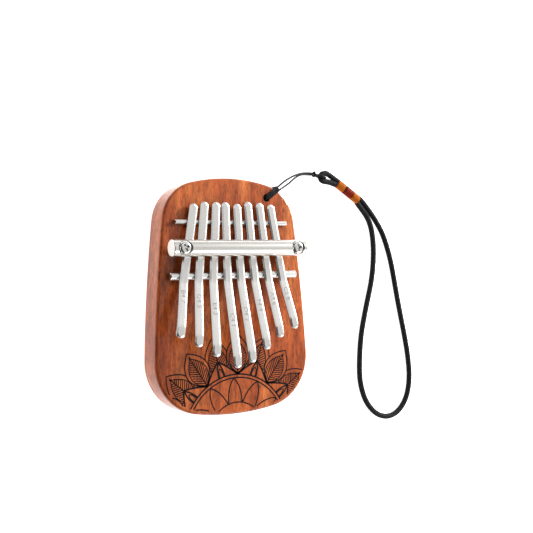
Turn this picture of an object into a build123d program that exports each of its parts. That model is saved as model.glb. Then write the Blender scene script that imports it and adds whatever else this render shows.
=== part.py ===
from build123d import *
import math
import os

# Pocket thumb piano (mbira) with a wrist lanyard, lying on its back.
# Millimetres. The origin is on the back face, under the middle of the wooden body,
# +X to the player's right, +Y towards the lanyard hole, +Z out of the playing face.

# --- wooden body ---
body_height = 100.0
body_thickness = 12.0
half_width_middle = 35.3
lower_corner = (37.4, -43.6)
upper_corner = (30.6, 43.6)
lower_corner_round = 22.0
upper_corner_round = 18.0
face_edge_round = 1.2

# --- rods across the face ---
back_rod_diameter = 2.2
back_rod_length = 54.2
back_rod_y = 30.9
back_rod_seat = 0.4
bridge_diameter = 3.4
bridge_length = 60.8
bridge_y = 8.6
bridge_seat = 0.1
bar_diameter = 7.0
bar_length = 64.0
bar_y = 19.85
rod_edge_round = 0.25
bar_edge_round = 0.45

# --- tines ---
tine_width = 3.8
tine_thickness = 0.9
tine_bevel_width = 0.75
tine_bevel_depth = 0.3
contact_gap = 0.04
flex_ahead = 1.6
split_gap = 0.1
rise_angle = 14.6
rise_radius = 12.0
tip_bend_radius = 22.0
tip_bend_angle = 12.0
# for each tine: x under the pressure bar, fan angle, y of the tail end, y of the tip
tines = [
    (-22.4, 12.0, 38.4, -16.0),
    (-16.4, 8.6, 39.3, -20.0),
    (-10.2, 6.2, 39.3, -24.3),
    (-4.4, 1.9, 39.4, -29.4),
    (1.7, 0.4, 38.8, -27.7),
    (7.9, -2.0, 39.8, -22.9),
    (14.3, -4.1, 39.5, -18.3),
    (20.8, -7.1, 38.9, -15.0),
]

# --- screws ---
screw_x = 27.0
screw_shank_diameter = 2.6
screw_head_diameter = 5.4
screw_head_height = 1.9
screw_rim_height = 0.7
screw_depth_in_wood = 7.5
screw_point_length = 2.2
screw_point_radius = 0.25
counterbore_diameter = 6.3
counterbore_floor_above_axis = 1.7
recess_length = 3.1
recess_width = 0.9
recess_depth = 1.2
left_screw_turn = 25.0
right_screw_turn = 8.0

# --- lanyard: rim_distance runs from the hole to the outside of the body ---
hole_centre = (18.0, 42.1)
hole_diameter = 3.5
rim_distance = 6.9
hitch_direction = 36.0
hitch_width = 2.6
hitch_thickness = 0.9
hitch_gap = 0.04
channel_width = 4.0
channel_depth = 1.4
string_diameter = 0.85
knot_start = (49.1, 55.3, 1.4)
knot_bead_length = 1.55
knot_bead_radius = 1.0
bight_centre = (54.3, 53.75, 2.25)
cord_diameter = 2.6
whipping_width = 4.4
whipping_thickness = 3.6
whipping_start = (64.1, 51.5)
whipping_end = (76.4, 43.7)
whipping_height = 1.85
string_upper_route = [
    (20.1, 44.3, 12.52),
    (24.0, 47.2, 12.4),
    (28.0, 49.5, 10.2),
    (33.0, 51.9, 7.6),
    (37.6, 53.9, 5.2),
    (42.0, 55.35, 3.4),
    (45.5, 55.8, 2.2),
    (49.6, 55.78, 1.5),
]
string_lower_route = [
    (20.7, 43.4, 12.52),
    (24.8, 45.9, 12.2),
    (28.6, 47.5, 9.9),
    (33.2, 49.7, 7.4),
    (37.6, 51.8, 5.2),
    (41.4, 53.8, 3.6),
    (45.4, 54.8, 2.1),
    (49.6, 54.82, 1.4),
]
eyelet_route = [
    (65.0, 52.3, 1.85),
    (61.5, 53.9, 2.0),
    (58.2, 55.85, 2.2),
    (55.5, 55.75, 2.25),
    (54.25, 54.6, 2.25),
    (54.35, 52.9, 2.25),
    (55.7, 51.95, 2.25),
    (58.5, 51.9, 2.2),
    (61.2, 51.35, 2.0),
    (63.7, 50.75, 1.85),
]
wrist_route = [
    (75.5, 42.6, 1.6),
    (78.0, 40.35, 1.4),
    (81.85, 36.15, 1.35),
    (84.2, 31.5, 1.35),
    (85.4, 24.5, 1.35),
    (85.3, 15.0, 1.35),
    (83.6, 4.5, 1.35),
    (79.6, -8.0, 1.35),
    (76.0, -21.0, 1.35),
    (74.5, -33.0, 1.35),
    (74.3, -44.2, 1.35),
    (78.0, -54.8, 1.35),
    (86.0, -61.7, 1.35),
    (95.5, -61.9, 1.35),
    (103.0, -55.2, 1.35),
    (105.9, -45.0, 1.35),
    (105.2, -33.0, 1.35),
    (102.9, -20.5, 1.35),
    (100.4, -9.0, 1.35),
    (98.2, 3.0, 1.35),
    (95.9, 15.5, 1.35),
    (91.9, 27.0, 1.35),
    (88.0, 33.1, 1.35),
    (84.1, 38.0, 1.35),
    (80.1, 42.35, 1.4),
    (77.1, 44.95, 1.6),
]

# --- heights that follow from the sizes above ---
face_z = body_thickness
back_rod_z = face_z + back_rod_diameter / 2 - back_rod_seat
back_rod_top = back_rod_z + back_rod_diameter / 2
bridge_z = face_z + bridge_diameter / 2 - bridge_seat
bridge_top = bridge_z + bridge_diameter / 2
tail_slope = math.degrees(math.atan((bridge_top - back_rod_top) / (back_rod_y - bridge_y)))
tine_axis_at_bridge = bridge_top + contact_gap + tine_thickness / 2
tail_climb = math.tan(math.radians(tail_slope))
tine_axis_at_bar = tine_axis_at_bridge - (bar_y - bridge_y) * tail_climb
bar_z = tine_axis_at_bar + tine_thickness / 2 + 2 * contact_gap + bar_diameter / 2
bar_top = bar_z + bar_diameter / 2
screw_seat_z = bar_z + counterbore_floor_above_axis
hitch_outward = Vector(1, 0, 0).rotate(Axis.Z, hitch_direction)

os.makedirs("parts", exist_ok=True)


def save(builder, name):
    """Label a finished piece and write its STEP file."""
    builder.part.label = name
    export_step(builder.part, f"parts/{name}.step")


def route_radii(route):
    """The largest arc that each inner corner's shorter run allows, with room to spare."""
    points = [Vector(*point) for point in route]
    radii = []
    for before, corner, after in zip(points, points[1:], points[2:]):
        turn = (corner - before).get_angle(after - corner)
        shorter_run = min((corner - before).length, (after - corner).length)
        radii.append(0.45 * shorter_run / math.tan(math.radians(turn / 2)))
    return radii


def cord_tube(name, route, diameter):
    """A round tube along straight runs joined by tangent arcs."""
    radii = route_radii(route)
    print(name, "bend radii:", [round(radius, 1) for radius in radii])
    with BuildPart() as tube:
        with BuildLine():
            centre_line = FilletPolyline(*route, radius=radii)
        with BuildSketch(Plane(origin=centre_line @ 0, z_dir=centre_line % 0)):
            Circle(diameter / 2)
        sweep(path=centre_line)
    expected = math.pi * diameter**2 / 4 * centre_line.length
    print(name, "length:", round(centre_line.length, 1))
    print(name, "volume over section x length:", round(tube.part.volume / expected, 4))
    save(tube, name)


# --- wooden body: one rounded block, the lanyard hole, screw pilots and rod seats ---
with BuildPart() as wood_body:
    with BuildSketch() as body_outline:
        with BuildLine():
            bottom = ThreePointArc(
                (-lower_corner[0], lower_corner[1]),
                (0, -body_height / 2),
                lower_corner,
            )
            right_side = ThreePointArc(bottom @ 1, (half_width_middle, 0), upper_corner)
            top = ThreePointArc(
                right_side @ 1,
                (0, body_height / 2),
                (-upper_corner[0], upper_corner[1]),
            )
            ThreePointArc(top @ 1, (-half_width_middle, 0), bottom @ 0)
        make_face()
        fillet(body_outline.vertices().group_by(Axis.Y)[0], lower_corner_round)
        fillet(body_outline.vertices().group_by(Axis.Y)[-1], upper_corner_round)
    extrude(amount=body_thickness)
    fillet(wood_body.faces().filter_by(Axis.Z).edges(), face_edge_round)
    with Locations((*hole_centre, face_z)):
        Hole(hole_diameter / 2)
    with Locations((-screw_x, bar_y, face_z), (screw_x, bar_y, face_z)):
        Hole(screw_shank_diameter / 2, depth=screw_depth_in_wood)
    for diameter, length, y, z in (
        (back_rod_diameter, back_rod_length, back_rod_y, back_rod_z),
        (bridge_diameter, bridge_length, bridge_y, bridge_z),
    ):
        with BuildSketch(Plane.YZ.offset(-length / 2)):
            with Locations((y, z)):
                Circle(diameter / 2)
        extrude(amount=length, mode=Mode.SUBTRACT)
    # a shallow channel on the back, so that the string does not lift the body
    with BuildSketch(Plane(origin=(*hole_centre, 0), x_dir=hitch_outward, z_dir=(0, 0, 1))):
        with Locations((rim_distance, 0)):
            Rectangle(2 * rim_distance + channel_width, channel_width)
    extrude(amount=channel_depth, mode=Mode.SUBTRACT)
save(wood_body, "wood_body")


# --- back rod and bridge: plain steel rods that the tines rest on ---
for name, diameter, length, y, z in (
    ("back_rod", back_rod_diameter, back_rod_length, back_rod_y, back_rod_z),
    ("bridge_rod", bridge_diameter, bridge_length, bridge_y, bridge_z),
):
    with BuildPart() as rod:
        with BuildSketch(Plane.YZ.offset(-length / 2)):
            with Locations((y, z)):
                Circle(diameter / 2)
        extrude(amount=length)
        chamfer(rod.edges().filter_by(GeomType.CIRCLE), rod_edge_round)
    save(rod, name)


# --- pressure bar: a thick polished rod with a counterbored hole at each end ---
with BuildPart() as pressure_bar:
    with BuildSketch(Plane.YZ.offset(-bar_length / 2)):
        with Locations((bar_y, bar_z)):
            Circle(bar_diameter / 2)
    extrude(amount=bar_length)
    fillet(pressure_bar.edges().filter_by(GeomType.CIRCLE), bar_edge_round)
    with Locations((-screw_x, bar_y, bar_top), (screw_x, bar_y, bar_top)):
        CounterBoreHole(
            radius=screw_shank_diameter / 2 + 0.1,
            counter_bore_radius=counterbore_diameter / 2,
            counter_bore_depth=bar_top - screw_seat_z,
        )
save(pressure_bar, "pressure_bar")


# --- screws: pan-head wood screws with a cross recess ---
def screw(name, x, turn):
    """A domed head on its seat, a pointed shank into the pilot hole, and the cross recess."""
    upright = (Align.CENTER, Align.CENTER, Align.MIN)
    hanging = (Align.CENTER, Align.CENTER, Align.MAX)
    shank_length = screw_seat_z - face_z + screw_depth_in_wood - screw_point_length - 0.2
    with BuildPart() as piece:
        with Locations((x, bar_y, screw_seat_z)):
            Cylinder(screw_head_diameter / 2, screw_head_height, align=upright)
        fillet(piece.edges().sort_by(Axis.Z)[-1], screw_head_height - screw_rim_height)
        with Locations((x, bar_y, screw_seat_z)):
            Cylinder(screw_shank_diameter / 2, shank_length, align=hanging)
        with Locations((x, bar_y, screw_seat_z - shank_length)):
            Cone(screw_point_radius, screw_shank_diameter / 2, screw_point_length, align=hanging)
        top_plane = Plane(
            origin=(x, bar_y, screw_seat_z + screw_head_height),
            x_dir=Vector(1, 0, 0).rotate(Axis.Z, turn),
            z_dir=(0, 0, 1),
        )
        with BuildSketch(top_plane):
            Rectangle(recess_length, recess_width)
            Rectangle(recess_width, recess_length)
        extrude(amount=-recess_depth, mode=Mode.SUBTRACT)
    save(piece, name)


screw("screw_left", -screw_x, left_screw_turn)
screw("screw_right", screw_x, right_screw_turn)


# --- tines: flat steel strips, each split just past the bridge into tail and reed ---
def tine_section():
    """The strip's cross-section, flat below and bevelled along both upper edges."""
    half = tine_width / 2
    low = -tine_thickness / 2
    high = tine_thickness / 2
    return Polygon(
        (-half, low),
        (half, low),
        (half, high - tine_bevel_depth),
        (half - tine_bevel_width, high),
        (-half + tine_bevel_width, high),
        (-half, high - tine_bevel_depth),
        align=None,
    )


def tine_part(name, origin, outward, path_maker, plan_centre, plan_length):
    """Sweep the section along a path in the strip's upright plane, then round the end."""
    across = Vector(0, 0, 1).cross(outward)
    side_plane = Plane(origin=origin, x_dir=outward, z_dir=-across)
    plan_plane = Plane(origin=plan_centre, x_dir=outward, z_dir=(0, 0, 1))
    with BuildPart() as piece:
        with BuildLine(side_plane) as path:
            path_maker()
        section_plane = Plane(
            origin=path.line @ 0,
            x_dir=across,
            z_dir=path.line % 0,
        )
        with BuildSketch(section_plane):
            tine_section()
        sweep(path=path.line)
        with BuildSketch(plan_plane):
            SlotOverall(plan_length, tine_width)
        extrude(amount=body_thickness * 3, mode=Mode.INTERSECT)
    save(piece, name)


for number, (x_at_bar, fan, tail_y, tip_y) in enumerate(tines, start=1):
    outward = Vector(0, -1, 0).rotate(Axis.Z, -fan)
    backward_per_y = 1 / math.cos(math.radians(fan))
    x_at_bridge = x_at_bar + (bridge_y - bar_y) * math.tan(math.radians(fan))
    bridge_point = Vector(x_at_bridge, bridge_y, tine_axis_at_bridge)
    flex_point = bridge_point + (outward + Vector(0, 0, tail_climb)) * flex_ahead
    tail_length = (tail_y - bridge_y) * backward_per_y
    reed_length = (bridge_y - tip_y) * backward_per_y
    plan_middle = Vector(x_at_bridge, bridge_y, 0) + outward * (reed_length - tail_length) / 2
    whole_length = tail_length + reed_length

    def tail_path():
        """Straight from the tail end to just past the bridge."""
        tail_start = -tail_length - 0.2
        tail_stop = flex_ahead - split_gap / 2
        Line((tail_start, tail_start * tail_climb), (tail_stop, tail_stop * tail_climb))

    def reed_path():
        """Up past the bridge, straight, then down again at the tip."""
        reed_start = flex_ahead + split_gap / 2
        lift = JernArc(
            start=(reed_start, reed_start * tail_climb),
            tangent=(1, tail_climb),
            radius=rise_radius,
            arc_size=rise_angle - tail_slope,
        )
        rise_sine = math.sin(math.radians(rise_angle))
        tip_sine = math.sin(math.radians(rise_angle - tip_bend_angle))
        tail_sine = math.sin(math.radians(tail_slope))
        arcs_reach = rise_radius * (rise_sine - tail_sine) + tip_bend_radius * (rise_sine - tip_sine)
        blade_reach = reed_length - reed_start - arcs_reach
        blade_length = blade_reach / math.cos(math.radians(rise_angle))
        blade = PolarLine(start=lift @ 1, length=blade_length, angle=rise_angle)
        JernArc(
            start=blade @ 1,
            tangent=blade % 1,
            radius=tip_bend_radius,
            arc_size=-tip_bend_angle,
        )

    tine_part(f"tine_{number}_tail", bridge_point, outward, tail_path, plan_middle, whole_length)
    tine_part(f"tine_{number}_reed", bridge_point, outward, reed_path, plan_middle, whole_length)
    print("tine", number, "hinge", [round(value, 3) for value in flex_point])
    print("tine", number, "outward", [round(value, 5) for value in outward])


# --- hitch: the string bundle through the hole, over the rim and back underneath ---
hitch_plane = Plane(
    origin=(*hole_centre, 0),
    x_dir=hitch_outward,
    z_dir=hitch_outward.cross(Vector(0, 0, 1)),
)
hitch_reach = rim_distance + hitch_gap
hitch_top = face_z + hitch_gap
with BuildPart() as hitch:
    with BuildSketch(hitch_plane):
        with BuildLine():
            Polyline(
                (0, hitch_gap),
                (hitch_reach + hitch_thickness, hitch_gap),
                (hitch_reach + hitch_thickness, hitch_top + hitch_thickness),
                (0, hitch_top + hitch_thickness),
                (0, hitch_top),
                (hitch_reach, hitch_top),
                (hitch_reach, channel_depth - hitch_gap),
                (0, channel_depth - hitch_gap),
                close=True,
            )
        make_face()
    extrude(amount=hitch_width / 2, both=True)
    with Locations((*hole_centre, hitch_gap)):
        Cylinder(
            hole_diameter / 2 - hitch_gap,
            face_z + hitch_thickness,
            align=(Align.CENTER, Align.CENTER, Align.MIN),
        )
    outer_corners = hitch.edges().filter_by(Axis.Z, reverse=True).filter_by(GeomType.LINE)
    outer_corners = outer_corners.filter_by(
        lambda edge: (edge.center() - Vector(*hole_centre)).dot(hitch_outward)
        > rim_distance + hitch_thickness
    )
    fillet(outer_corners, hitch_thickness - 2 * hitch_gap)
save(hitch, "hitch")


# --- strings: two fine cords from the hitch down to the knot ---
cord_tube("string_upper", string_upper_route, string_diameter)
cord_tube("string_lower", string_lower_route, string_diameter)

with BuildPart() as string_knot:
    with BuildSketch(Plane(knot_start, x_dir=(1, 0, 0), z_dir=(0, 0, 1))):
        with Locations((knot_bead_length / 2, 0), (knot_bead_length * 1.45, 0)):
            RectangleRounded(knot_bead_length, 2 * knot_bead_radius, knot_bead_length * 0.4)
        with Locations((knot_bead_length, -knot_bead_radius)):
            Rectangle(3 * knot_bead_length, 2 * knot_bead_radius, mode=Mode.SUBTRACT)
    revolve(axis=Axis(knot_start, (1, 0, 0)))
save(string_knot, "string_knot")

# the string's end loop, round the eyelet cord
bight_radius = cord_diameter / 2 + 0.05 + string_diameter / 2
with BuildPart() as string_bight:
    with BuildSketch(Plane(origin=bight_centre, x_dir=(0, 0, 1), z_dir=(0, 1, 0))):
        Circle(bight_radius + string_diameter / 2)
        Circle(bight_radius - string_diameter / 2, mode=Mode.SUBTRACT)
    extrude(amount=string_diameter / 2, both=True)
    fillet(string_bight.edges(), string_diameter / 2 * 0.6)
save(string_bight, "string_bight")


# --- braided cord: a small eyelet and the large wrist loop, bound by the whipping ---
cord_tube("eyelet_cord", eyelet_route, cord_diameter)
cord_tube("wrist_cord", wrist_route, cord_diameter)

whipping_run = Vector(*whipping_end) - Vector(*whipping_start)
whipping_along = whipping_run.normalized()
whipping_across = Vector(0, 0, 1).cross(whipping_along)
bands = [
    ("whipping_orange_upper", 0.0, 0.33),
    ("whipping_black", 0.33, 0.37),
    ("whipping_maroon", 0.37, 0.70),
    ("whipping_orange_lower", 0.70, 1.0),
]
for name, band_start, band_end in bands:
    band_origin = Vector(*whipping_start, whipping_height) + whipping_run * band_start
    with BuildPart() as band:
        with BuildSketch(Plane(origin=band_origin, x_dir=whipping_across, z_dir=whipping_along)):
            RectangleRounded(whipping_width, whipping_thickness, whipping_thickness * 0.45)
        extrude(amount=whipping_run.length * (band_end - band_start))
    save(band, name)
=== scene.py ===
import math

import bmesh
import bpy
import numpy as np
from mathutils import Matrix, Vector


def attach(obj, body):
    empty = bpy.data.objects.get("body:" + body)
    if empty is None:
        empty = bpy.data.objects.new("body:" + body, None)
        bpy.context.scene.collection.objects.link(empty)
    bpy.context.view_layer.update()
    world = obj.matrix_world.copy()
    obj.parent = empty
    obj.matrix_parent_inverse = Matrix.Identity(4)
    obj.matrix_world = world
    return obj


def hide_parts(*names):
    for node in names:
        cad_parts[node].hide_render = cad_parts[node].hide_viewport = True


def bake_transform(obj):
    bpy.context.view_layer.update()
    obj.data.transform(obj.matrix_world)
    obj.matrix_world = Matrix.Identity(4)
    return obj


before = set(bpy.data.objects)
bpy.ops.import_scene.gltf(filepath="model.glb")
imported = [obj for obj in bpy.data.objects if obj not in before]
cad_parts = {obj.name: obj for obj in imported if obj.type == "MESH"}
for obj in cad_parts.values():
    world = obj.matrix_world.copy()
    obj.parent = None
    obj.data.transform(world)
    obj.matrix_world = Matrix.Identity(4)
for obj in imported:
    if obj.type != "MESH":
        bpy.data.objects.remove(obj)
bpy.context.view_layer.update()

MM = 0.001


# ---------------------------------------------------------------------------
# Wooden body. One rounded block of straight-grained reddish hardwood, sanded
# round at the edges, stained and dipped in a clear glossy lacquer.

def new_material(name):
    """An empty node material with its shader: returns the material, its tree and the shader."""
    material = bpy.data.materials.new(name)
    material.use_nodes = True
    tree = material.node_tree
    return material, tree, tree.nodes["Principled BSDF"]


def stretched_noise(tree, stretch, detail=3.0, roughness=0.55):
    """A noise pattern on object coordinates, with its own number of grains per metre on each axis."""
    place = tree.nodes.new("ShaderNodeTexCoord")
    mapping = tree.nodes.new("ShaderNodeMapping")
    mapping.inputs["Scale"].default_value = stretch
    noise = tree.nodes.new("ShaderNodeTexNoise")
    noise.inputs["Scale"].default_value = 1.0
    noise.inputs["Detail"].default_value = detail
    noise.inputs["Roughness"].default_value = roughness
    tree.links.new(place.outputs["Object"], mapping.inputs["Vector"])
    tree.links.new(mapping.outputs["Vector"], noise.inputs["Vector"])
    return noise.outputs["Fac"]


def ramp(tree, source, stops):
    """A colour ramp: each stop is its place from 0 to 1 and a linear colour or a grey."""
    node = tree.nodes.new("ShaderNodeValToRGB")
    elements = node.color_ramp.elements
    while len(elements) < len(stops):
        elements.new(0.5)
    for element, (place, colour) in zip(elements, stops):
        element.position = place
        element.color = (*colour, 1.0) if hasattr(colour, "__len__") else (colour, colour, colour, 1.0)
    tree.links.new(source, node.inputs["Fac"])
    return node.outputs["Color"]


def mixed(tree, blend, share, first, second):
    """Two colours mixed by one of the layer modes, with a fixed or a linked share."""
    node = tree.nodes.new("ShaderNodeMix")
    node.data_type = "RGBA"
    node.blend_type = blend
    for socket_name, value in (("Factor", share), ("A", first), ("B", second)):
        socket = node.inputs[socket_name]
        if isinstance(value, bpy.types.NodeSocket):
            tree.links.new(value, socket)
        else:
            socket.default_value = value
    return node.outputs["Result"]


def raised(tree, shader, height, strength, distance):
    """A height pattern as a bump on the shader's normal."""
    bump = tree.nodes.new("ShaderNodeBump")
    bump.inputs["Strength"].default_value = strength
    bump.inputs["Distance"].default_value = distance
    tree.links.new(height, bump.inputs["Height"])
    tree.links.new(bump.outputs["Normal"], shader.inputs["Normal"])


lacquered_wood, tree, shader = new_material("lacquered_wood")
broad_tone = ramp(tree, stretched_noise(tree, (120, 22, 120), 4.0),
                  [(0.30, (0.400, 0.066, 0.013)), (0.50, (0.640, 0.138, 0.030)),
                   (0.70, (0.840, 0.245, 0.064))])
streak = ramp(tree, stretched_noise(tree, (520, 130, 520), 4.0, 0.6), [(0.38, 0.22), (0.60, 1.0)])
fibre = ramp(tree, stretched_noise(tree, (2300, 260, 2300), 3.0), [(0.30, 0.45), (0.60, 1.0)])
pore = ramp(tree, stretched_noise(tree, (2600, 420, 2600), 1.0), [(0.34, 0.12), (0.41, 1.0)])
wood_colour = mixed(tree, "MULTIPLY", 0.45, broad_tone, streak)
wood_colour = mixed(tree, "MULTIPLY", 0.60, wood_colour, fibre)
wood_colour = mixed(tree, "MULTIPLY", 0.55, wood_colour, pore)
tree.links.new(wood_colour, shader.inputs["Base Color"])
raised(tree, shader, pore, 0.25, 0.00005)
shader.inputs["Roughness"].default_value = 0.45
shader.inputs["Specular IOR Level"].default_value = 0.1
shader.inputs["Coat Weight"].default_value = 0.8
shader.inputs["Coat IOR"].default_value = 1.36
shader.inputs["Coat Roughness"].default_value = 0.06

wood_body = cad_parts["wood_body"]
wood_body.material_slots[0].material = lacquered_wood


# ---------------------------------------------------------------------------
# Engraving. A flower fan burnt into the lacquered face as fine dark lines: a
# double ring with a ring of gothic arches, a zigzag star and two rows of leaves.

def line_ribbon(points, width, closed=False):
    """The four long edges of a flat burnt line through the points: half its width to each side of it,
    just above the face and just below. Gives the corners and the faces, which are numbered from 0."""
    points = np.asarray(points)
    if closed:
        ahead = np.roll(points, -1, axis=0) - np.roll(points, 1, axis=0)
    else:
        ahead = np.gradient(points, axis=0)
    ahead /= np.linalg.norm(ahead, axis=1)[:, None]
    side = np.column_stack([-ahead[:, 1], ahead[:, 0]]) * width / 2
    flat = np.stack([points + side, points + side, points - side, points - side], axis=1)
    level = np.broadcast_to(np.array([11.95, 12.02, 12.02, 11.95])[None, :, None], (len(points), 4, 1))
    corners = np.concatenate([flat, level], axis=2).reshape(-1, 3)
    count = len(points)
    ring = np.arange(count if closed else count - 1)[:, None]
    following = (ring + 1) % count
    edge = np.arange(4)[None, :]
    next_edge = (edge + 1) % 4
    faces = np.stack(np.broadcast_arrays(4 * ring + edge, 4 * following + edge, 4 * following + next_edge,
                                         4 * ring + next_edge), axis=2).reshape(-1, 4)
    if not closed:
        last = 4 * (count - 1)
        faces = np.concatenate([faces, [[0, 1, 2, 3], [last + 3, last + 2, last + 1, last]]])
    return corners, faces


def kept_runs(points, keep):
    """The stretches of a line that are kept, as a list of point arrays of three points or more."""
    cuts = np.flatnonzero(np.diff(keep.astype(int))) + 1
    runs = zip(np.split(points, cuts), np.split(keep, cuts))
    return [run for run, kept in runs if kept[0] and len(run) > 2]


def polar(radius, degrees):
    """Points at a radius and an angle from the flower's centre."""
    angle = np.radians(degrees)
    return np.column_stack(np.broadcast_arrays(radius * np.cos(angle), radius * np.sin(angle)))


flower_centre = np.array([0.0, -58.4])
ring_radius = 25.3
star_points = np.array([35.5, 70.5, 105.5, 140.5])
star_valleys = np.array([53.0, 88.0, 123.0, 18.0, 158.0])
leaf_length = 16.7
leaf_half_width = 5.2
inner_leaf_length = leaf_length - 2.6
inner_leaf_half_width = 3.9


def star_radius(degrees):
    """How far the zigzag star reaches at an angle: from the ring in its valleys up to its peaks."""
    away = np.abs((degrees - 88.0) % 35.0 - 17.5) / 17.5
    return ring_radius + 6.7 * (1 - away)**1.15


def leaf_frame(points, degrees):
    """Points in a leaf's own frame: the distance along its midrib, and sideways from it."""
    angle = math.radians(degrees)
    along = points @ [math.cos(angle), math.sin(angle)] - ring_radius
    return along, points @ [-math.sin(angle), math.cos(angle)]


def leaf_width(along, length, half_width):
    """Half a leaf's width along it: full a little before the middle, with a blunt tip."""
    t = np.clip(along / length, 0, 1)
    return half_width * 4 * t**0.92 * (1 - t)


def in_leaf(points, degrees):
    """Whether points lie inside a leaf."""
    along, across = leaf_frame(points, degrees)
    edge = leaf_width(along, leaf_length, leaf_half_width)
    return (along > 0) & (along < leaf_length) & (np.abs(across) < edge)


def leaf_lines(degrees):
    """A leaf's lines with their widths: outline, inner outline, midrib, slanting veins and the tip's dot."""
    angle = math.radians(degrees)
    outward = np.array([math.cos(angle), math.sin(angle)])
    sideways = np.array([-math.sin(angle), math.cos(angle)])
    t = np.linspace(0, math.pi, 90)
    t = 0.5 - 0.5 * np.cos(t)
    lines = []
    for length, half_width, line_width in ((leaf_length, leaf_half_width, 0.54),
                                           (inner_leaf_length, inner_leaf_half_width, 0.46)):
        for side in (-1, 1):
            width = side * leaf_width(t * length, length, half_width)
            lines.append((ring_radius * outward + t[:, None] * length * outward + width[:, None] * sideways,
                          line_width))
    lines.append((ring_radius * outward + np.linspace(0, inner_leaf_length, 60)[:, None] * outward, 0.48))
    for start in np.arange(0.4, inner_leaf_length - 1.2, 1.15):
        for side in (-1, 1):
            reach = np.linspace(0, 4.5, 40)
            along = start + reach * math.cos(math.radians(52))
            across = reach * math.sin(math.radians(52))
            inside = across < leaf_width(along, inner_leaf_length, inner_leaf_half_width)
            vein = (ring_radius + along)[:, None] * outward + side * across[:, None] * sideways
            lines += [(run, 0.42) for run in kept_runs(vein, inside)]
    spot = np.linspace(-0.45, 0.45, 7)
    lines.append(((ring_radius + inner_leaf_length + 0.35 + spot)[:, None] * outward, 0.85))
    return lines


def arch(foot_radius, middle, half_angle, apex_radius, bulge):
    """A pointed arch from its left foot over its apex to its right foot, with its sides bowed outward.
    Each side is a curve pulled towards one bent point outside the straight line to the apex."""
    left, right = polar(foot_radius, middle + half_angle)[0], polar(foot_radius, middle - half_angle)[0]
    apex = polar(apex_radius, middle)[0]
    t = np.linspace(0, 1, 24)[:, None]
    sides = []
    for foot in (left, right):
        halfway = (foot + apex) / 2
        outward = halfway - (left + right + apex) / 3
        bent = halfway + outward / np.linalg.norm(outward) * bulge
        sides.append((1 - t)**2 * foot + 2 * t * (1 - t) * bent + t**2 * apex)
    return np.concatenate([sides[0], sides[1][-2::-1]])


drawn = []
around = np.linspace(0, 180, 500)
drawn += [(polar(25.15, around), 0.66), (polar(23.75, around), 0.60), (polar(13.4, around), 0.55)]
for middle in np.arange(5.6, 180, 29.0):
    drawn.append((arch(13.4, middle, 14.0, 23.6, 2.6), 0.58))
drawn.append((polar(star_radius(around), around), 0.72))
for peak in star_points:
    drawn.append((arch(25.3, peak, 3.4, 31.4, 1.2), 0.66))
    drawn.append((arch(25.3, peak, 2.1, 29.0, 1.1), 0.50))
# the valley leaves lie in front of the peak leaves, and the star in front of both
for leaf_angles, in_front in ((star_valleys, []), (star_points, star_valleys)):
    for leaf_angle in leaf_angles:
        for line, width in leaf_lines(leaf_angle):
            bearing = np.degrees(np.arctan2(line[:, 1], line[:, 0]))
            shown = np.linalg.norm(line, axis=1) > star_radius(bearing)
            for front_angle in in_front:
                shown &= ~in_leaf(line, front_angle)
            drawn += [(run, width) for run in kept_runs(line, shown)]

# lines stop at the edge of the flat face: no point passes the face's reach in any of 360 directions
corners_read = np.empty(len(wood_body.data.vertices) * 3)
wood_body.data.vertices.foreach_get("co", corners_read)
face_edge = corners_read.reshape(-1, 3) / MM
face_edge = face_edge[face_edge[:, 2] > 11.99][:, :2]
headings = np.radians(np.arange(360))
headings = np.stack([np.cos(headings), np.sin(headings)])
face_reach = (face_edge @ headings).max(axis=0) - 0.15

corners, faces, first = [], [], 0
for line, width in drawn:
    placed = line + flower_centre
    on_face = ((placed @ headings) <= face_reach - width / 2).all(axis=1)
    for run in kept_runs(placed, on_face):
        run_corners, run_faces = line_ribbon(run, width)
        corners.append(run_corners)
        faces.append(run_faces + first)
        first += len(run_corners)
burnt_line, tree, shader = new_material("burnt_line")
char = ramp(tree, stretched_noise(tree, (2500, 1200, 2500), 3.0),
            [(0.3, (0.002, 0.001, 0.0008)), (0.7, (0.008, 0.003, 0.002))])
tree.links.new(char, shader.inputs["Base Color"])
shader.inputs["Roughness"].default_value = 0.6
shader.inputs["Specular IOR Level"].default_value = 0.15
engraving_mesh = bpy.data.meshes.new("engraving")
engraving_mesh.from_pydata((np.concatenate(corners) * MM).tolist(), [], np.concatenate(faces).tolist())
engraving_mesh.materials.append(burnt_line)
outward_faces = bmesh.new()
outward_faces.from_mesh(engraving_mesh)
bmesh.ops.recalc_face_normals(outward_faces, faces=outward_faces.faces)
outward_faces.to_mesh(engraving_mesh)
outward_faces.free()
engraving = bpy.data.objects.new("engraving", engraving_mesh)
bpy.context.scene.collection.objects.link(engraving)
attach(engraving, "instrument")


# ---------------------------------------------------------------------------
# Back rod, bridge, pressure bar and screws. Polished nickel-plated steel rod:
# the two thin rods lie in shallow seats, and the thick bar is screwed down on
# the tines through a counterbored hole at each end.

def plated_metal(name, colour, scratches, smooth, dull, depth):
    """Bright plating whose fine scratches of some depth run along one axis and change how dull it is."""
    material, tree, shader = new_material(name)
    mark = stretched_noise(tree, scratches, 4.0, 0.65)
    tone = ramp(tree, mark, [(0.25, tuple(0.90 * c for c in colour)), (0.70, colour)])
    tree.links.new(tone, shader.inputs["Base Color"])
    tree.links.new(ramp(tree, mark, [(0.30, smooth), (0.75, dull)]), shader.inputs["Roughness"])
    raised(tree, shader, mark, depth, 0.00001)
    shader.inputs["Metallic"].default_value = 1.0
    return material


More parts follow.
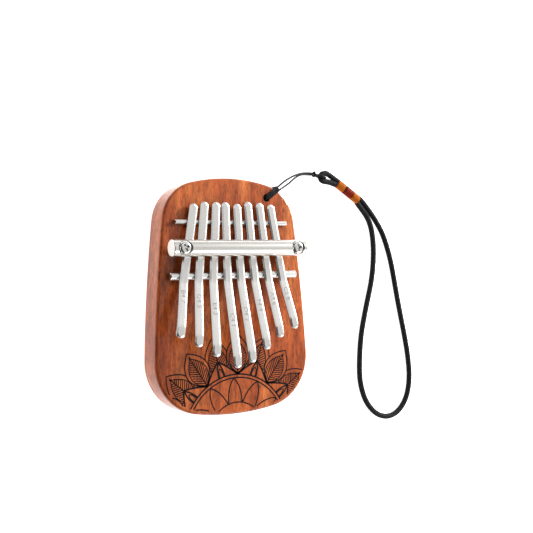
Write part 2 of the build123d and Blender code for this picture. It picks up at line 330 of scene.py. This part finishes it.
steel_rod = plated_metal("polished_steel_rod", (0.78, 0.77, 0.75), (90, 2600, 2600), 0.22, 0.28, 0.003)
nickel_bar = plated_metal("nickel_bar", (0.67, 0.652, 0.615), (40, 1800, 1800), 0.26, 0.32, 0.002)
nickel_screw = plated_metal("nickel_screw", (0.76, 0.75, 0.73), (1500, 1500, 1500), 0.14, 0.26, 0.01)
for node, material in (("back_rod", steel_rod), ("bridge_rod", steel_rod), ("pressure_bar", nickel_bar),
                       ("screw_left", nickel_screw), ("screw_right", nickel_screw)):
    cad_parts[node].material_slots[0].material = material


# ---------------------------------------------------------------------------
# Tines. Flat tempered spring steel with both upper edges ground to a bevel and
# the ends rounded. Each runs over the back rod, under the bar and over the
# bridge, and is creased up past the bridge and down again at the thumb's tip.

def grid_mesh(name, grid, uv, wrap, material):
    """A mesh from a grid of points, rows by columns, with a face between each four neighbours.
    With wrap, the last column joins the first. uv gives each grid corner's place on the map."""
    rows, columns = grid.shape[:2]
    i, j = np.meshgrid(np.arange(rows - 1), np.arange(columns if wrap else columns - 1), indexing="ij")
    i, j = i.ravel(), j.ravel()
    corners = [(i, j), (i, j + 1), (i + 1, j + 1), (i + 1, j)]
    faces = np.stack([a * columns + b % columns for a, b in corners], axis=1)
    mesh = bpy.data.meshes.new(name)
    mesh.from_pydata(grid.reshape(-1, 3).tolist(), [], faces.tolist())
    chart = mesh.uv_layers.new(name="UVMap")
    chart.data.foreach_set("uv", np.stack([uv[a, b] for a, b in corners], axis=1).ravel())
    mesh.polygons.foreach_set("use_smooth", np.full(len(faces), True))
    mesh.materials.append(material)
    welded = bmesh.new()
    welded.from_mesh(mesh)
    bmesh.ops.remove_doubles(welded, verts=welded.verts, dist=1e-7)
    bmesh.ops.recalc_face_normals(welded, faces=welded.faces)
    welded.to_mesh(mesh)
    welded.free()
    piece = bpy.data.objects.new(name, mesh)
    bpy.context.scene.collection.objects.link(piece)
    return piece


def eased(value):
    """Smooth step from 0 to 1."""
    value = np.clip(value, 0, 1)
    return value * value * (3 - 2 * value)


tine_half_width = 1.9
tine_half_thickness = 0.45
bevel_width = 0.75
bevel_drop = 0.3
bridge_y = 8.6
bar_y = 19.85
strip_height_at_bridge = 15.79
tip_facet = 5.4
# x under the bar, fan angle in degrees, y of the tail end and y of the tip
tine_plan = [
    (-22.4, 12.0, 38.4, -16.0),
    (-16.4, 8.6, 39.3, -20.0),
    (-10.2, 6.2, 39.3, -24.3),
    (-4.4, 1.9, 39.4, -29.4),
    (1.7, 0.4, 38.8, -27.7),
    (7.9, -2.0, 39.8, -22.9),
    (14.3, -4.1, 39.5, -18.3),
    (20.8, -7.1, 38.9, -15.0),
]


def strip_slope(t, tip):
    """The strip's slope in radians at distance t past the bridge. Each crease adds its angle over its
    length: flatter under the bar, steeper after it, back to the first slope before the bridge, the rise
    past the bridge, and the tip's facet."""
    angle = (3.85 - 3.05 * eased((t + 12.8) / 3.0) + 5.7 * eased((t + 7.5) / 0.7)
             - 2.65 * eased((t + 3.0) / 0.8) + 10.75 * eased((t - 1.4) / 2.7)
             - 10.0 * eased((t - tip + tip_facet) / 1.6))
    return np.radians(angle)


def strip_height(t, start, tip, samples):
    """The height of the strip's middle above the bridge point: its slope added up from start to the tip."""
    fine = np.linspace(start, tip, samples)
    climb = np.tan(strip_slope((fine[1:] + fine[:-1]) / 2, tip)) * np.diff(fine)
    rise = np.concatenate([[0], np.cumsum(climb)])
    return np.interp(t, fine, rise) - np.interp(0.0, fine, rise)


def strip_place(x_at_bar, fan, tail_y, tip_y):
    """One row of the plan as the point over the bridge, the directions outward along the strip and
    sideways across it, and the distances of its tail and its tip past the bridge."""
    turn = math.radians(fan)
    point = np.array([x_at_bar + (bridge_y - bar_y) * math.tan(turn), bridge_y, strip_height_at_bridge])
    outward = np.array([-math.sin(turn), -math.cos(turn), 0])
    sideways = np.array([math.cos(turn), -math.sin(turn), 0])
    return point, outward, sideways, (bridge_y - tail_y) / math.cos(turn), (bridge_y - tip_y) / math.cos(turn)


def strip_surface(tail, tip):
    """One strip lying along +x from its tail to its tip. Its outline is a stadium, and its upper side
    falls off from full height at the bevel's inner line to the bevel's foot at the outline."""
    near_end = tine_half_width * (1 - np.cos(np.linspace(0, math.pi / 2, 14)))
    inner = np.arange(tail + 2.2, tip - 2.2, 0.35)
    t = np.concatenate([tail + near_end, inner, (tip - near_end)[::-1]])
    to_end = np.minimum(t - tail, tip - t)
    inside = np.clip(tine_half_width - to_end, 0, None)
    half = np.sqrt(np.clip(tine_half_width**2 - inside**2, 0, None))
    flat_radius = tine_half_width - bevel_width
    flat = np.sqrt(np.clip(flat_radius**2 - inside**2, 0, None))
    crown = tine_half_thickness - bevel_drop * np.clip(1 - to_end / bevel_width, 0, 1)
    foot = tine_half_thickness - bevel_drop
    height = strip_height(t, tail, tip, 4000)
    across = np.stack([-half, -flat, 0 * flat, flat, half, half, 0 * half, -half], axis=1)
    low = np.full_like(t, -tine_half_thickness)
    foot = np.full_like(t, foot)
    level = np.stack([foot, crown, crown, crown, foot, low, low, low], axis=1)
    slope = strip_slope(t, tip)[:, None]
    along = t[:, None] - level * np.sin(slope)
    up = height[:, None] + level * np.cos(slope)
    girth = np.array([0, 1.2, 1.9, 2.6, 3.8, 4.6, 6.5, 8.4, 9.2])
    chart = np.stack(np.broadcast_arrays(t[:, None] * MM, girth * MM), axis=2)
    return np.stack([along, across, up], axis=2), chart


spring_steel, tree, shader = new_material("spring_steel")
chart = tree.nodes.new("ShaderNodeUVMap")
mapping = tree.nodes.new("ShaderNodeMapping")
mapping.inputs["Scale"].default_value = (120, 5200, 1)
brushing = tree.nodes.new("ShaderNodeTexNoise")
brushing.inputs["Scale"].default_value = 1.0
brushing.inputs["Detail"].default_value = 4.0
tree.links.new(chart.outputs["UV"], mapping.inputs["Vector"])
tree.links.new(mapping.outputs["Vector"], brushing.inputs["Vector"])
steel_tone = ramp(tree, brushing.outputs["Fac"],
                  [(0.25, (0.625, 0.612, 0.588)), (0.75, (0.695, 0.684, 0.658))])
tree.links.new(steel_tone, shader.inputs["Base Color"])
tree.links.new(ramp(tree, brushing.outputs["Fac"], [(0.3, 0.22), (0.7, 0.28)]), shader.inputs["Roughness"])
raised(tree, shader, brushing.outputs["Fac"], 0.02, 0.00001)
shader.inputs["Metallic"].default_value = 1.0

for number, row in enumerate(tine_plan, start=1):
    bridge_point, outward, sideways, tail, tip = strip_place(*row)
    strip, chart = strip_surface(tail, tip)
    points = bridge_point + strip[..., :1] * outward + strip[..., 1:2] * sideways + strip[..., 2:] * [0, 0, 1]
    tine = grid_mesh(f"tine_{number}", points * MM, chart, True, spring_steel)
    tine.data.set_sharp_from_angle(angle=math.radians(9))
    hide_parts(f"tine_{number}_tail", f"tine_{number}_reed")
    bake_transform(tine)


# ---------------------------------------------------------------------------
# Note marks. A grey note name and number are etched along each reed, past the
# part that bends.

etched_grey, tree, shader = new_material("etched_grey")
etched = ramp(tree, stretched_noise(tree, (4000, 4000, 4000), 2.0),
              [(0.3, (0.15, 0.147, 0.14)), (0.7, (0.25, 0.245, 0.235))])
tree.links.new(etched, shader.inputs["Base Color"])
shader.inputs["Metallic"].default_value = 0.4
shader.inputs["Roughness"].default_value = 0.5
# each reed's mark, and how far past the bridge it starts
note_marks = [("B4 7", 5.6), ("G4 5", 7.4), ("E4 3", 11.2), ("C4 1", 15.6), ("D4 2", 13.4), ("F4 4", 10.4),
              ("A4 6", 7.6), ("C5 8", 5.6)]
for number, row in enumerate(tine_plan, start=1):
    letters = bpy.data.curves.new("letters", "FONT")
    letters.body, mark_start = note_marks[number - 1]
    letters.size = 2.9
    letters.extrude = 0.012
    letters.resolution_u = 3
    holder = bpy.data.objects.new("letters", letters)
    bpy.context.scene.collection.objects.link(holder)
    mark_mesh = bpy.data.meshes.new_from_object(holder)
    bpy.data.objects.remove(holder)
    flat = np.array([vertex.co for vertex in mark_mesh.vertices])
    bridge_point, outward, sideways, _, tip = strip_place(*row)
    t = mark_start + flat[:, 0]
    surface = tine_half_thickness + flat[:, 2]
    up = strip_height(t, 0.0, tip, 2000) + surface / np.cos(strip_slope(t, tip))
    across = flat[:, 1] - (flat[:, 1].max() + flat[:, 1].min()) / 2
    placed = bridge_point + t[:, None] * outward + across[:, None] * sideways + up[:, None] * [0, 0, 1]
    mark_mesh.vertices.foreach_set("co", (placed * MM).ravel())
    mark_mesh.materials.clear()
    mark_mesh.materials.append(etched_grey)
    upright = bmesh.new()
    upright.from_mesh(mark_mesh)
    bmesh.ops.remove_doubles(upright, verts=upright.verts, dist=1e-7)
    bmesh.ops.recalc_face_normals(upright, faces=upright.faces)
    upright.to_mesh(mark_mesh)
    upright.free()
    mark = bpy.data.objects.new(f"note_mark_{number}", mark_mesh)
    bpy.context.scene.collection.objects.link(mark)
    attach(mark, f"tine_{number}_free")


# ---------------------------------------------------------------------------
# Strings. Two fine waxed two-ply strings leave the hole, run over the rim and
# hang down to the small overhand knot that joins them to the cord's eyelet.

def laid_line(route, step):
    """Even steps along the smooth spline that has a route's points as its control points."""
    curve = bpy.data.curves.new("route", "CURVE")
    curve.dimensions = "3D"
    spline = curve.splines.new("NURBS")
    spline.points.add(len(route) - 1)
    spline.points.foreach_set("co", np.column_stack([np.array(route) * MM, np.ones(len(route))]).ravel())
    spline.order_u = 3
    spline.use_endpoint_u = True
    spline.resolution_u = 24
    holder = bpy.data.objects.new("route", curve)
    bpy.context.scene.collection.objects.link(holder)
    read = bpy.data.meshes.new_from_object(holder)
    line = np.array([vertex.co for vertex in read.vertices])
    bpy.data.objects.remove(holder)
    bpy.data.meshes.remove(read)
    gone = np.concatenate([[0], np.cumsum(np.linalg.norm(np.diff(line, axis=0), axis=1))])
    steps = np.linspace(0, gone[-1], max(8, round(gone[-1] / step)))
    return np.column_stack([np.interp(steps, gone, line[:, axis]) for axis in range(3)]), steps


def tube_rings(line, radius, around, level=(0, 0, 1)):
    """Rings of points square to a line: radius may differ from point to point, and round each ring.
    Level is a direction that the line never takes, from which the rings are turned."""
    ahead = np.gradient(line, axis=0)
    ahead /= np.linalg.norm(ahead, axis=1)[:, None]
    side = np.cross(ahead, level)
    side /= np.linalg.norm(side, axis=1)[:, None]
    over = np.cross(side, ahead)
    turn = np.linspace(0, 2 * math.pi, around, endpoint=False)
    ring = np.cos(turn)[None, :, None] * side[:, None, :] + np.sin(turn)[None, :, None] * over[:, None, :]
    radius = np.broadcast_to(radius, (len(line), around)).copy()
    radius[[0, -1]] = 0
    return line[:, None, :] + radius[..., None] * ring


def tube_chart(steps, around):
    """The map of a tube: metres along it, and the share of a turn round it."""
    return np.stack(np.broadcast_arrays(steps[:, None], np.linspace(0, 1, around + 1)[None, :]), axis=2)


def fibre_material(name, dark, light, threads_along, threads_round, slant, dullness, bump, shine=0.3):
    """Cord or thread on its own map: fine slanting filaments set the colour, the dullness and the bump.
    Shine is how strongly the fibre reflects."""
    material, tree, shader = new_material(name)
    chart = tree.nodes.new("ShaderNodeUVMap")
    mapping = tree.nodes.new("ShaderNodeMapping")
    mapping.inputs["Scale"].default_value = (threads_along, threads_round, 1)
    mapping.inputs["Rotation"].default_value = (0, 0, slant)
    noise = tree.nodes.new("ShaderNodeTexNoise")
    noise.inputs["Scale"].default_value = 1.0
    noise.inputs["Detail"].default_value = 4.0
    noise.inputs["Roughness"].default_value = 0.6
    tree.links.new(chart.outputs["UV"], mapping.inputs["Vector"])
    tree.links.new(mapping.outputs["Vector"], noise.inputs["Vector"])
    fibre_tone = ramp(tree, noise.outputs["Fac"], [(0.30, dark), (0.70, light)])
    tree.links.new(fibre_tone, shader.inputs["Base Color"])
    tree.links.new(ramp(tree, noise.outputs["Fac"], [(0.3, dullness), (0.7, min(1.0, dullness + 0.2))]),
                   shader.inputs["Roughness"])
    raised(tree, shader, noise.outputs["Fac"], bump, 0.00008)
    shader.inputs["Specular IOR Level"].default_value = shine
    return material


black_string = fibre_material("black_string", (0.002, 0.002, 0.0025), (0.009, 0.009, 0.010),
                              2400, 9, 0.3, 0.45, 0.5, 0.2)
string_diameter = 0.85


def twisted_string(name, line, steps, level=(0, 0, 1)):
    """A two-ply string round a line: the two round plies turn once in three millimetres."""
    twist = steps[:, None] / (1.5 * MM) * math.pi
    turn = np.linspace(0, 2 * math.pi, 16, endpoint=False)[None, :]
    ply = string_diameter / 2 * MM * (0.92 + 0.18 * np.abs(np.cos(turn - twist)))
    string = grid_mesh(name, tube_rings(line, ply, 16, level), tube_chart(steps, 16), True, black_string)
    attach(string, "instrument")
    return string


string_routes = {
    "string_upper": [(20.1, 44.3, 12.52), (24.0, 47.2, 12.4), (28.0, 49.5, 10.2), (33.0, 51.9, 7.6),
                     (37.6, 53.6, 5.2), (42.0, 54.95, 3.4), (45.5, 55.5, 2.2), (49.6, 55.7, 1.5)],
    "string_lower": [(20.7, 43.4, 12.52), (24.8, 45.9, 12.2), (28.6, 47.5, 9.9), (33.2, 49.7, 7.4),
                     (37.8, 52.5, 5.0), (42.0, 54.35, 3.2), (45.5, 54.85, 2.0), (49.6, 54.9, 1.4)],
}
for name, route in string_routes.items():
    line, steps = laid_line(route, 0.12 * MM)
    string = twisted_string(f"{name}_twisted", line, steps)
    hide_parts(name)


# ---------------------------------------------------------------------------
# Hitch. The same string passes down the hole, under the wood in its channel and
# up over the rim, three turns side by side that hold the strings to the body.

hitch_angle = math.radians(36.0)
hitch_outward = np.array([math.cos(hitch_angle), math.sin(hitch_angle), 0])
hitch_sideways = np.array([-math.sin(hitch_angle), math.cos(hitch_angle), 0])
hole_foot = np.array([18.0, 42.1, 0])
for number, (offset, inner_s) in enumerate(((-0.86, -0.3), (0.0, -1.05), (0.86, -0.3)), start=1):
    corner = np.linspace(0, math.pi / 2, 12)
    outer_s, low_z, high_z, corner_round = 7.42, 0.62, 12.46, 0.75
    early, late = corner_round * (1 - np.cos(corner)), corner_round * (1 - np.sin(corner))
    loop = np.concatenate([
        [(inner_s, 6.0)],
        np.column_stack([inner_s + early, low_z + late]),
        np.column_stack([outer_s - late, low_z + early]),
        np.column_stack([outer_s - early, high_z - late]),
        np.column_stack([inner_s + late, high_z - early]),
        [(inner_s, 5.4)],
    ])
    share = np.clip((loop[:, 0] - inner_s) / (outer_s - inner_s), 0, 1)
    swing = offset + 0.35 * np.sin(share * math.pi) - 0.15
    loop_line = (hole_foot + loop[:, :1] * hitch_outward + swing[:, None] * hitch_sideways
                 + loop[:, 1:] * [0, 0, 1])
    gone = np.concatenate([[0], np.cumsum(np.linalg.norm(np.diff(loop_line, axis=0), axis=1))])
    steps = np.linspace(0, gone[-1], 300)
    loop_line = np.column_stack([np.interp(steps, gone, loop_line[:, axis]) for axis in range(3)]) * MM
    strand = twisted_string(f"hitch_strand_{number}", loop_line, steps * MM, hitch_sideways)
    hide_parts("hitch")
# the string's doubled-up ends fill the rest of the hole
end_places = [(0.8, -0.55), (0.8, 0.55), (-0.1, 0.0), (-0.95, 0.88), (-0.95, -0.88)]
for number, (outward_of_hole, aside) in enumerate(end_places, start=1):
    rise = np.linspace(0.7, 11.6, 100)
    end_foot = hole_foot + outward_of_hole * hitch_outward + aside * hitch_sideways
    end_line = (end_foot + rise[:, None] * [0, 0, 1]) * MM
    tucked_end = twisted_string(f"tucked_end_{number}", end_line, rise * MM, hitch_sideways)
    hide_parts("hitch")


# ---------------------------------------------------------------------------
# Knot and bight. Both strings end in one tight overhand knot, and a ring of the
# same string beyond it passes round the eyelet.

turn = np.linspace(0.5 * math.pi, 2.55 * math.pi, 260)
knot_line = np.column_stack([
    50.85 + 0.62 * (np.cos(turn) - 1.7 * np.cos(2 * turn)),
    55.3 + 0.38 * (np.sin(turn) + 1.7 * np.sin(2 * turn)),
    1.40 + 0.45 * np.sin(3 * turn),
]) * MM
knot_run_per_radian = 1.9
string_knot = twisted_string("overhand_knot", knot_line, turn * knot_run_per_radian * MM)
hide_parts("string_knot")
bight_line, steps = laid_line([
    (51.2, 55.1, 1.6), (52.4, 54.7, 3.6), (54.2, 53.9, 4.6), (56.3, 53.5, 3.9), (56.7, 53.5, 2.25),
    (56.3, 53.5, 0.5), (54.2, 54.0, 0.45), (52.4, 54.9, 0.5), (51.2, 55.3, 1.2),
], 0.08 * MM)
string_bight = twisted_string("end_loop", bight_line, steps, (0.15, 1, 0))
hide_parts("string_bight")


# ---------------------------------------------------------------------------
# Wrist cord. One soft black braided cord: a small eyelet, both its legs bound
# side by side under the whipping, and then the large loop for the wrist.

cord_diameter = 2.6
whipping_start = np.array([64.1, 51.5])
whipping_end = np.array([76.4, 43.7])
cord_route = [
    (70.4, 48.4, 1.85), (66.2, 51.05, 1.85), (64.4, 52.35, 1.9), (61.5, 53.9, 2.0), (58.2, 55.85, 2.2),
    (55.5, 55.75, 2.25), (54.25, 54.6, 2.25), (54.35, 52.9, 2.25), (55.7, 51.95, 2.25), (58.5, 51.9, 2.2),
    (61.2, 51.35, 2.0), (63.5, 50.75, 1.9), (65.5, 49.75, 1.85), (69.6, 47.1, 1.85), (74.1, 44.25, 1.8),
    (76.1, 42.4, 1.55), (78.0, 40.35, 1.4), (81.85, 36.15, 1.35), (84.2, 31.5, 1.35), (85.4, 24.5, 1.35),
    (85.3, 15.0, 1.35), (83.6, 4.5, 1.35), (79.6, -8.0, 1.35), (76.0, -21.0, 1.35), (74.5, -33.0, 1.35),
    (74.3, -44.2, 1.35), (78.0, -54.8, 1.35), (86.0, -61.7, 1.35), (95.5, -61.9, 1.35), (103.0, -55.2, 1.35),
    (105.9, -45.0, 1.35), (105.2, -33.0, 1.35), (102.9, -20.5, 1.35), (100.4, -9.0, 1.35), (98.2, 3.0, 1.35),
    (95.9, 15.5, 1.35), (91.9, 27.0, 1.35), (88.0, 33.1, 1.35), (84.1, 38.0, 1.35), (80.1, 42.35, 1.4),
    (77.6, 44.5, 1.6), (75.0, 45.5, 1.8), (71.5, 47.6, 1.85),
]
black_braid = fibre_material("black_braid", (0.0015, 0.0015, 0.0018), (0.013, 0.013, 0.015),
                             1400, 36, 0.5, 0.62, 0.8, 0.22)
cord_line, cord_steps = laid_line(cord_route, 0.20 * MM)
strands = 8
pitch = 1.9 * MM
turn = np.linspace(0, 2 * math.pi, 48, endpoint=False)[None, :]
wave = 2 * math.pi * cord_steps[:, None] / pitch
braid = np.maximum(np.cos(strands * turn + wave), np.cos(strands * turn - wave))
whipping_length = np.linalg.norm(whipping_end - whipping_start)
bound = (cord_line[:, :2] / MM - whipping_start) @ (whipping_end - whipping_start) / whipping_length
squeeze = 0.17
squeezed = 1 - squeeze * (eased((bound + 0.4) / 1.2) * eased((whipping_length + 0.4 - bound) / 1.2))[:, None]
braid_radius = cord_diameter / 2 * MM * (0.93 + 0.075 * braid) * squeezed
wrist_cord = grid_mesh("braided_cord", tube_rings(cord_line, braid_radius, 48), tube_chart(cord_steps, 48),
                       True, black_braid)
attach(wrist_cord, "instrument")
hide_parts("eyelet_cord", "wrist_cord")


# ---------------------------------------------------------------------------
# Whipping. Fine glossy thread wound tightly round both legs of the cord: orange,
# a few turns of black, maroon and orange again, on a flat oval.

def wound_thread(name, first, last, material, node):
    """One band of close turns on the whipping's oval from one share of its length to another. Each turn is a
    round ridge, and the ridges climb one pitch in each turn."""
    steps = np.arange(first * whipping_length, last * whipping_length, 0.05)
    turn = np.linspace(0, 2 * math.pi, 72, endpoint=False)[None, :]
    thread_pitch, ridge_height = 0.42, 0.19
    phase = (steps[:, None] / thread_pitch - turn / (2 * math.pi)) % 1.0
    ridge = ridge_height * np.sqrt(np.clip(1 - (2 * phase - 1)**2, 0, 1))
    ends = np.minimum(steps - steps[0], steps[-1] - steps)[:, None]
    ridge = ridge - 0.35 * np.clip(1 - ends / 0.25, 0, 1)
    ahead = np.append((whipping_end - whipping_start) / whipping_length, 0)
    side = np.array([-ahead[1], ahead[0], 0])
    middle = np.append(whipping_start, 1.85) + steps[:, None] * ahead
    across = (2.03 + ridge)[..., None] * np.cos(turn)[..., None] * side
    over = (1.62 + ridge)[..., None] * np.sin(turn)[..., None] * np.array([0, 0, 1])
    rings = middle[:, None, :] + across + over
    rings = np.concatenate([middle[None, :1].repeat(72, axis=1), rings, middle[None, -1:].repeat(72, axis=1)])
    steps = np.concatenate([steps[:1], steps, steps[-1:]]) * MM
    band = grid_mesh(name, rings * MM, tube_chart(steps, 72), True, material)
    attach(band, "instrument")
    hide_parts(node)


orange_thread = fibre_material("orange_thread", (0.28, 0.070, 0.004), (0.80, 0.22, 0.012),
                               5200, 26, 0.2, 0.34, 0.25, 0.12)
maroon_thread = fibre_material("maroon_thread", (0.12, 0.008, 0.003), (0.42, 0.030, 0.010),
                               5200, 26, 0.2, 0.34, 0.25, 0.12)
black_thread = fibre_material("black_thread", (0.004, 0.003, 0.003), (0.018, 0.014, 0.014),
                              5200, 26, 0.2, 0.40, 0.25)
wound_thread("whipping_top", 0.0, 0.33, orange_thread, "whipping_orange_upper")
wound_thread("whipping_line", 0.33, 0.37, black_thread, "whipping_black")
wound_thread("whipping_middle", 0.37, 0.70, maroon_thread, "whipping_maroon")
wound_thread("whipping_foot", 0.70, 1.0, orange_thread, "whipping_orange_lower")


# ---------------------------------------------------------------------------
# Studio. A seamless white table in a room that is bright on the right, a key
# window low on the right, three soft strips and a long lens above the face.

table_top = bpy.data.meshes.new("table_top")
reach = 3.0
table_top.from_pydata([(-reach, -reach, 0), (reach, -reach, 0), (reach, reach, 0), (-reach, reach, 0)], [],
                      [(0, 1, 2, 3)])
table_top.transform(Matrix.Translation((0, 0, -0.0001)))
paper, tree, shader = new_material("white_table")
shader.inputs["Base Color"].default_value = (0.92, 0.92, 0.92, 1)
shader.inputs["Roughness"].default_value = 0.8
shader.inputs["Specular IOR Level"].default_value = 0.1
shader.inputs["Emission Color"].default_value = (1, 1, 1, 1)
shader.inputs["Emission Strength"].default_value = 1.1
table_top.materials.append(paper)
table = bpy.data.objects.new("table_top", table_top)
bpy.context.scene.collection.objects.link(table)

world = bpy.data.worlds.new("white_room")
world.use_nodes = True
tree = world.node_tree
sky = tree.nodes.new("ShaderNodeTexCoord")
towards_window = tree.nodes.new("ShaderNodeVectorMath")
towards_window.operation = "DOT_PRODUCT"
towards_window.inputs[1].default_value = (0.98, 0.10, 0.17)
tree.links.new(sky.outputs["Generated"], towards_window.inputs[0])
tree.links.new(ramp(tree, towards_window.outputs["Value"], [(0.06, 0.06), (0.36, 0.80), (1.0, 0.84)]),
               tree.nodes["Background"].inputs["Color"])
tree.nodes["Background"].inputs["Strength"].default_value = 1.0
bpy.context.scene.world = world


def soft_light(name, place, power, width, height):
    """A rectangular area light at a place in metres, turned to the middle of the object."""
    lamp = bpy.data.lights.new(name, "AREA")
    lamp.shape = "RECTANGLE"
    lamp.size = width
    lamp.size_y = height
    lamp.energy = power
    holder = bpy.data.objects.new(name, lamp)
    holder.location = place
    holder.rotation_euler = Vector(place).to_track_quat("Z", "Y").to_euler()
    bpy.context.scene.collection.objects.link(holder)


soft_light("key_window", (0.84, 0.40, 0.40), 12.0, 0.18, 0.18)
soft_light("front_strip", (0.53, -0.64, 0.52), 3.4, 0.9, 0.26)
soft_light("side_strip", (0.94, 0.30, 0.16), 1.2, 0.5, 0.18)
soft_light("back_strip", (-0.17, 0.50, 0.85), 1.3, 0.8, 0.55)

azimuth, elevation, roll = math.radians(32.0), math.radians(1.3), math.radians(-1.72)
back = np.array([-math.sin(azimuth) * math.cos(elevation), -math.sin(elevation),
                 math.cos(azimuth) * math.cos(elevation)])
level_right = np.array([math.cos(azimuth), 0, math.sin(azimuth)])
level_up = np.cross(back, level_right)
right = level_right * math.cos(roll) + level_up * math.sin(roll)
up = level_up * math.cos(roll) - level_right * math.sin(roll)
stand = (20.29 * right + 12.76 * up + 368.0 * back) * MM
lens = bpy.data.cameras.new("long_lens")
lens.sensor_width = 36.0
lens.lens = 57.02
camera = bpy.data.objects.new("long_lens", lens)
camera.matrix_world = Matrix([[right[k], up[k], back[k], stand[k]] for k in range(3)] + [[0, 0, 0, 1]])
bpy.context.scene.collection.objects.link(camera)
bpy.context.scene.camera = camera
bpy.context.scene.view_settings.view_transform = "Standard"

bpy.context.view_layer.update()
